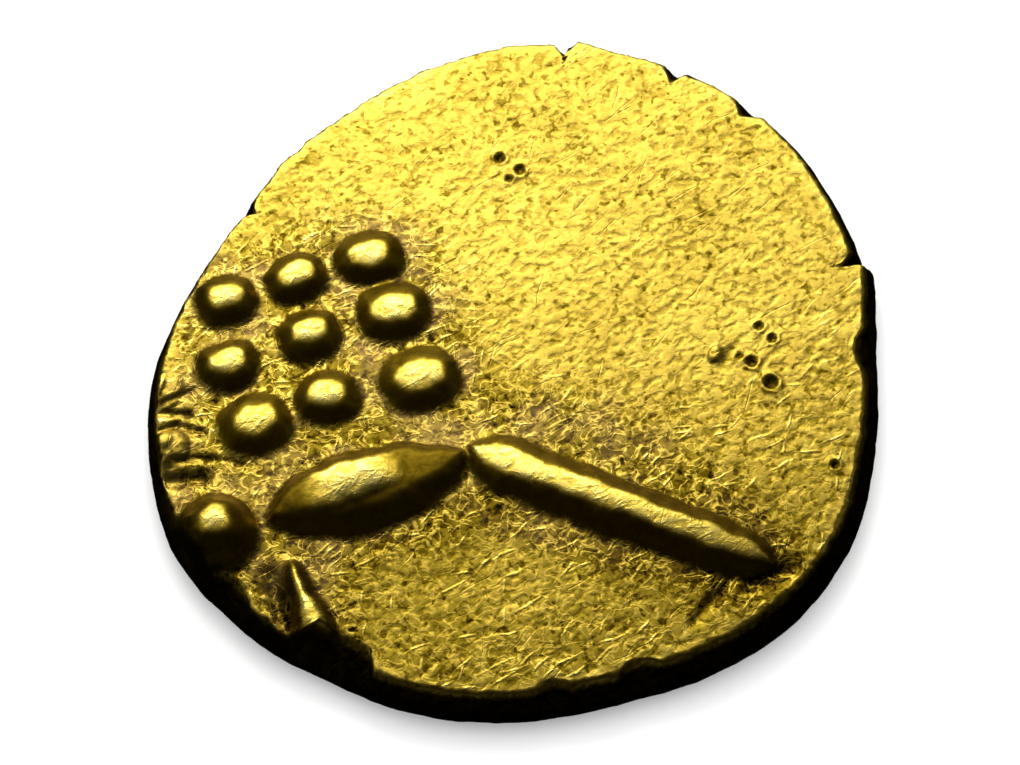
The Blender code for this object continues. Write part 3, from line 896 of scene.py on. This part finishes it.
def wearTree():
    tree, add, given = newGeometryTree(
        "wearSurface",
        Float=["Flake Height", "Slope Share", "Lip Stray", "Wall Height"],
        Int=["Halo Steps"],
    )
    names = ("wall", "lip", "device")
    wall, lip, device = (add("GeometryNodeInputNamedAttribute", {"Name": name}) for name in names)
    halo = add("GeometryNodeBlurAttribute", {"Value": device, "Iterations": given["Halo Steps"]})
    coin = add(
        "GeometryNodeStoreNamedAttribute",
        {"Geometry": given["Geometry"], "Name": "halo", "Value": halo},
    )
    position = add("GeometryNodeInputPosition")
    inMm = add("VectorMath", {0: position, "Scale": 1 / mm}, "SCALE")
    normal = add("GeometryNodeInputNormal")
    upright = add("SeparateXYZ", {"Vector": normal}).node.outputs["Z"]
    upright = add("Math", (upright,), "ABSOLUTE")
    steep, level = wear["uprightFlat"]
    flat = add("MapRange", (upright, steep, level, given["Slope Share"]), **smoothly)
    top = add("MapRange", {0: device, 3: 1.0, 4: wear["deviceShare"]})
    flat = add("Math", (flat, top), "MULTIPLY")
    flakes = add("Math", (addFlakes(add, inMm), wear["flakeMiddle"]), "SUBTRACT")
    flakes = addAll(add, [flakes, given["Flake Height"], flat])
    flattened = add("VectorMath", (inMm, (1, 1, wear["wallSquash"])), "MULTIPLY")
    rough = add("TexNoise", {"Vector": flattened, "Scale": 1 / wear["wallSize"], **wear["wallNoise"]})
    rough = add("Math", (rough, wear["wallMiddle"]), "SUBTRACT")
    rough = add("Math", (rough, given["Wall Height"]), "MULTIPLY")
    outward = add("Mix", {0: wall, "A": flakes, "B": rough})
    moved = add("VectorMath", {0: normal, "Scale": outward}, "SCALE")
    # The lip strays sideways
    stray = addStray(add, inMm, wear["lipSize"], (1, 1, wear["lipRise"]), **wear["lipNoise"])
    reach = add("Math", (lip, given["Lip Stray"]), "MULTIPLY")
    stray = add("VectorMath", {0: stray, "Scale": reach}, "SCALE")
    offset = add("VectorMath", (moved, stray))
    # Nothing on the underside goes below the plane that the coin lies on
    placed = add("VectorMath", (position, offset))
    placed = add("VectorMath", (placed, (-1.0, -1.0, 0.0)), "MAXIMUM")
    coin = add("GeometryNodeSetPosition", {"Geometry": coin, "Position": placed})
    finishTree(add, coin)
    return tree


def wearCoin(coin):
    values = {
        "Flake Height": wear["flakeHeight"] * mm, "Slope Share": wear["slopeShare"],
        "Lip Stray": wear["lipStray"] * mm, "Wall Height": wear["wallHeight"] * mm,
        "Halo Steps": wear["haloSteps"],
    }
    coin = applyTree(coin, wearTree(), values)
    print("coin worn")
    return coin


# Gold alloy struck by hand. It mirrors softly and warm. Tarnish and dirt darken what wear can't reach,
# and painted shade darkens the slopes, the wall, the field near the devices and the lower right.
gold = {
    # Cleanness from 0, dark with dirt and painted shade, to 1, metal rubbed bright: colour, and below it
    # roughness
    "colours": [
        (0.00, "1C1404"), (0.22, "725A0A"), (0.40, "AA9228"),
        (0.55, "DABA48"), (0.72, "F3D65A"), (1.00, "FFF096"),
    ],
    "roughness": [(0.0, 0.52), (0.4, 0.44), (0.7, 0.36), (1.0, 0.24)],
    "evenClean": 0.564,
    # Size in mm, detail, roughness and distortion of the grain, the patches and the folds. Real grain and
    # scratches are finer, and are drawn as coarse as they need to show.
    "noises": [(0.045, 3.0, 0.65, 0.4), (1.3, 4.0, 0.6, 0.3), (0.17, 2.0, 0.6, 0.8)],
    "patchShare": 0.34,
    "grainShare": 0.36,
    "flakeShare": 0.21,
    "flakeMean": 0.63,
    "speckSize": 0.085,  # mm
    "speckDirt": 0.20,
    "speckEdge": (0.60, 0.68),
    # The field near the devices is darkened, partly as dirt and partly as painted shade
    "haloFrom": 0.01,
    "haloTo": 0.24,
    "haloShadeAndDirt": 0.225,
    # Darker patches above the bar, partly dirt and partly painted shade: middle and reach in mm, and
    # strength
    "darkPatches": [((0.30, -1.05, 0.6), 1.3, 0.95), ((1.25, -1.25, 0.6), 1.3, 0.95)],
    "tarnish": "C4A26A",
    "tarnishShare": 0.40,
    "tarnishSize": 0.55,  # mm
    "tarnishEdge": (0.38, 0.66),
    "haloContrast": 0.55,
    # Darkening in the pits and the furrows, partly dirt and partly painted shade
    "pitShadeAndDirt": 0.34,
    "foldBand": 0.068,
    "foldClean": 0.35,
    "foldFull": 0.6,  # how rough the field is where the shreds are at full strength
    "foldDull": 0.55,  # share of the folds' strength on the dull field
    "foldFar": 0.15,  # share of the folds' and shreds' strength on the smoothest part of the field
    # The coin is rougher towards its lower right, and painted shade darkens it there: direction, where
    # that starts and ends in mm, and how much
    "dullAndShadedTowards": (0.36, -0.93, 0.0),
    "dullAndShadedFrom": 0.3,
    "dullAndShadedTo": 3.3,
    "lowerRightShade": 0.188,
    # Cleanness of a part, and how much of the grain shows there. The slopes and the wall are set dark
    # partly as dirt and patina and partly as painted shade.
    # The slopes' darker colour is partly dirt and partly painted shade
    "slopeDirtAndShade": (0.27, 0.3),
    "wornClean": (0.84, 1.5),
    # The wall's near-black colour is partly patina and partly painted shade of the dark it mirrors
    "wallPatinaAndShade": (0.07, 0.8),
    "lipClean": 0.14,
    "flakeBump": 0.0021,  # mm
    "grainBump": 0.0010,
    "foldBump": 0.0015,
    "shredBump": 0.0025,
    "scratchBump": 0.002,
    "slopeRelief": 0.15,  # slopes were pressed smooth by the die, so this much of the bump is left there
    "wornRelief": 0.5,  # how much smoother the worn tops are
    "lipRelief": 0.7,  # and the lip
    "shredClean": 0.30,
    "scratchClean": 0.15,
    "scratchEdge": (0.10, 0.30),  # from a scratch's middle line, the cell distance where it fades out
    "shredBend": 0.11,  # mm
    "shredBendSize": 0.36,
    # Turn in degrees, length and width in mm, share kept: short curled shreds, and longer scratches
    "shreds": [
        (28, 0.30, 0.034, 0.13), (48, 0.24, 0.034, 0.12), (6, 0.20, 0.032, 0.07), (82, 0.16, 0.030, 0.04),
    ],
    "scratches": [(33, 0.42, 0.017, 0.03), (50, 0.30, 0.016, 0.03), (80, 0.40, 0.016, 0.01)],
}


# A value's curve through several points, of plain numbers or of colours
def addRamp(add, value, points, colours=False):
    ramp = add("ValToRGB", {"Fac": value})
    stops = ramp.node.color_ramp.elements
    while len(stops) < len(points):
        stops.new(0.5)
    for stop, (place, shade) in zip(stops, points):
        stop.position = place
        stop.color = hexColour(shade) if colours else (shade, shade, shade, 1.0)
    return ramp


# Scratches are thin ellipses around the scattered points of a stretched cell pattern
def addScratches(add, position, turn, length, width, kept):
    stretched = addTurned(add, position, turn, (0.5 / length, 0.5 / width, 0.0))
    cells = add("TexVoronoi", {"Vector": stretched, "Scale": 1.0}, voronoi_dimensions="2D").node.outputs
    inner, outer = gold["scratchEdge"]
    near = add("MapRange", (cells["Distance"], inner, outer, 1.0, 0.0))
    draw = add("SeparateColor", {"Color": cells["Color"]})
    chosen = add("Math", (draw, kept), "LESS_THAN")
    return add("Math", (near, chosen), "MULTIPLY")


def hammeredGold():
    material = bpy.data.materials.new("hammeredGold")
    material.use_nodes = True
    tree = material.node_tree
    add = partial(addNode, tree)
    shader = tree.nodes["Principled BSDF"]
    place = add("TexCoord").node.outputs["Object"]
    inMm = add("VectorMath", {0: place, "Scale": 1 / mm}, "SCALE")
    wall, lip, pit, device, worn, halo = (
        add("Attribute", attribute_name=name).node.outputs["Fac"]
        for name in ("wall", "lip", "pit", "device", "worn", "halo")
    )
    flakes = addFlakes(add, inMm)
    noiseInputs = ("Detail", "Roughness", "Distortion")
    grain, patches, folds = (
        add("TexNoise", {"Vector": inMm, "Scale": 1 / size, **dict(zip(noiseInputs, settings))})
        for size, *settings in gold["noises"]
    )
    bend = addStray(add, inMm, gold["shredBendSize"], [gold["shredBend"]] * 3, Detail=1.0)
    bent = add("VectorMath", (inMm, bend))
    shreds, scratches = (
        addAll(add, [addScratches(add, bent, *kind) for kind in gold[name]], "MAXIMUM")
        for name in ("shreds", "scratches")
    )

    # The face is rougher near the devices and towards its lower right. Dirt and painted shade darken it
    # near the devices, and painted shade darkens its lower right.
    near = add("MapRange", (halo, gold["haloFrom"], gold["haloTo"]))
    for middle, reach, share in gold["darkPatches"]:
        away = add("VectorMath", (inMm, middle), "DISTANCE").node.outputs["Value"]
        stain = add("MapRange", (away, 0.0, reach, share, 0.0), **smoothly)
        near = add("Math", (near, stain), use_clamp=True)
    along = add("VectorMath", (inMm, gold["dullAndShadedTowards"]), "DOT_PRODUCT")
    along = along.node.outputs["Value"]
    dullAndShaded = add("MapRange", (along, gold["dullAndShadedFrom"], gold["dullAndShadedTo"]))
    rough = add("Math", (near, dullAndShaded))
    strong = add("MapRange", {0: rough, 2: gold["foldFull"], 3: gold["foldFar"]})

    # Thin folds of metal stand up where it flowed against the devices
    folds = add("Math", (folds, 0.5), "SUBTRACT")
    folds = add("Math", (folds,), "ABSOLUTE")
    folds = add("MapRange", (folds, 0.0, gold["foldBand"], 1.0, 0.0), **smoothly)
    halfDull = add("Math", (dullAndShaded, gold["foldDull"]), "MULTIPLY")
    pressed = add("Math", (near, halfDull), "MAXIMUM")
    pressed = add("MapRange", {0: pressed, 3: gold["foldFar"]})
    folds = add("Math", (folds, pressed), "MULTIPLY")
    shreds = add("Math", (shreds, strong), "MULTIPLY")
    specks = add("TexNoise", {"Vector": bent, "Scale": 1 / gold["speckSize"], "Detail": 1.0})
    low, full = gold["speckEdge"]
    specks = add("MapRange", (specks, low, full), **smoothly)

    # The flakes' high spots are rubbed bright, dirt stays low, and dirt with painted shade darkens the
    # field near the devices
    share = gold["grainShare"]
    high = add("Math", (grain, share, -share / 2), "MULTIPLY_ADD")
    high = add("Math", (flakes, gold["flakeShare"], high), "MULTIPLY_ADD")
    high = add("Math", (high, gold["flakeMean"] * gold["flakeShare"]), "SUBTRACT")
    contrast = add("Math", (near, gold["haloContrast"], 1.0), "MULTIPLY_ADD")
    varied = add("Math", (high, contrast), "MULTIPLY")
    share = gold["patchShare"]
    patch = add("Math", (patches, share, -share / 2), "MULTIPLY_ADD")
    shares = [
        (folds, gold["foldClean"]),
        (shreds, gold["shredClean"]),
        (scratches, gold["scratchClean"]),
        (lip, gold["lipClean"]),
        (near, -gold["haloShadeAndDirt"]),
        (dullAndShaded, -gold["lowerRightShade"]),
        (pit, -gold["pitShadeAndDirt"]),
        (specks, -gold["speckDirt"]),
    ]
    clean = add("Math", (patch, gold["evenClean"]))
    clean = add("Math", (clean, varied))
    for pattern, share in shares:
        clean = add("Math", (pattern, share, clean), "MULTIPLY_ADD")
    # Slopes, worn tops and the wall each have their own cleanness. The slopes' and the wall's are low
    # partly as painted shade.
    for part, name in ((device, "slopeDirtAndShade"), (worn, "wornClean"), (wall, "wallPatinaAndShade")):
        level, share = gold[name]
        tone = add("Math", (high, share, level), "MULTIPLY_ADD")
        tone = add("Math", (dullAndShaded, -gold["lowerRightShade"] * level, tone), "MULTIPLY_ADD")
        clean = add("Mix", {0: part, "A": clean, "B": tone})
    # Near the devices the field has a patchy brown tarnish, least towards its lower right
    bare = add("Math", (1.0, device), "SUBTRACT")
    darkPatches = add("TexNoise", {"Vector": bent, "Scale": 1 / gold["tarnishSize"], "Detail": 3.0})
    low, full = gold["tarnishEdge"]
    darkPatches = add("MapRange", (darkPatches, low, full), **smoothly)
    bright = add("Math", (1.0, dullAndShaded), "SUBTRACT")
    tarnished = addAll(add, [near, darkPatches, bright, bare, gold["tarnishShare"]])
    colour = add(
        "Mix",
        {0: tarnished, "A": addRamp(add, clean, gold["colours"], True), "B": hexColour(gold["tarnish"])},
        data_type="RGBA",
    )
    tree.links.new(colour, shader.inputs["Base Color"])
    tree.links.new(addRamp(add, clean, gold["roughness"]), shader.inputs["Roughness"])
    shader.inputs["Metallic"].default_value = 1.0

    smooth = add("Math", (device, worn), "SUBTRACT")
    coarse = add("MapRange", {0: smooth, 3: 1.0, 4: gold["slopeRelief"]})
    fieldOnly = add("Math", (worn, -gold["wornRelief"], 1.0), "MULTIPLY_ADD")
    relief = add("Math", (flakes, gold["flakeBump"]), "MULTIPLY")
    bumps = ((folds, gold["foldBump"]), (shreds, gold["shredBump"]), (scratches, -gold["scratchBump"]))
    for pattern, share in bumps:
        relief = add("Math", (pattern, share, relief), "MULTIPLY_ADD")
    lipLeft = add("Math", (lip, -gold["lipRelief"], 1.0), "MULTIPLY_ADD")
    relief = addAll(add, [relief, lipLeft, fieldOnly])
    relief = add("Math", (grain, gold["grainBump"], relief), "MULTIPLY_ADD")
    relief = add("Math", (relief, coarse), "MULTIPLY")
    bump = add("Bump", {"Height": relief, "Distance": mm, "Strength": 1.0})
    tree.links.new(bump, shader.inputs["Normal"])
    return material


placeCamera()
buildStage()
coin = wearCoin(strikeBlank(buildBlank()))
coin.data.materials.clear()
coin.data.materials.append(hammeredGold())
coin.data.shade_smooth()
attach(coin, "root")
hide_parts("gold_coin")
